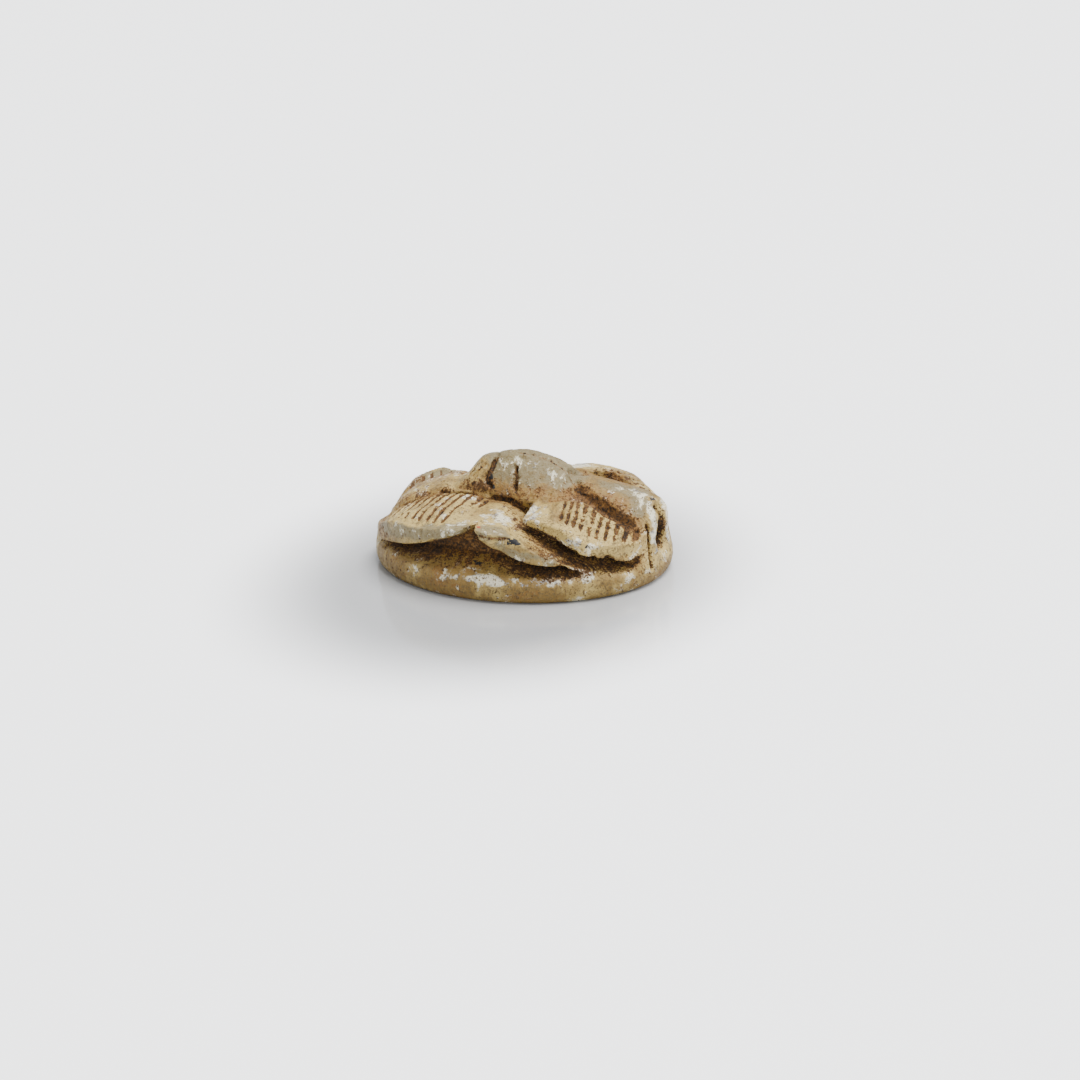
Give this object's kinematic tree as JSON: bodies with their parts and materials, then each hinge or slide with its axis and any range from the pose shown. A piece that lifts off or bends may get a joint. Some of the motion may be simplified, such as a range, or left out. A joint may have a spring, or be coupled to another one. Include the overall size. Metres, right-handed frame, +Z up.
{
  "type": "scarab amulet",
  "caption": "Small carved stone beetle on a flat oval plinth, with hatched legs and a string hole from head to tail.",
  "frame": {"origin": "centre of the flat underside, below the middle of the outline", "axes": "+X along the body from the head to the tail, +Y to the beetle's left across the body, +Z up from the underside"},
  "size_m": [0.018, 0.0134, 0.007],
  "materials": {
    "stone": "worn matt steatite with brown earth in the cuts"
  },
  "bodies": {
    "root": {"scarab_amulet": "stone"}
  },
  "joints": []
}
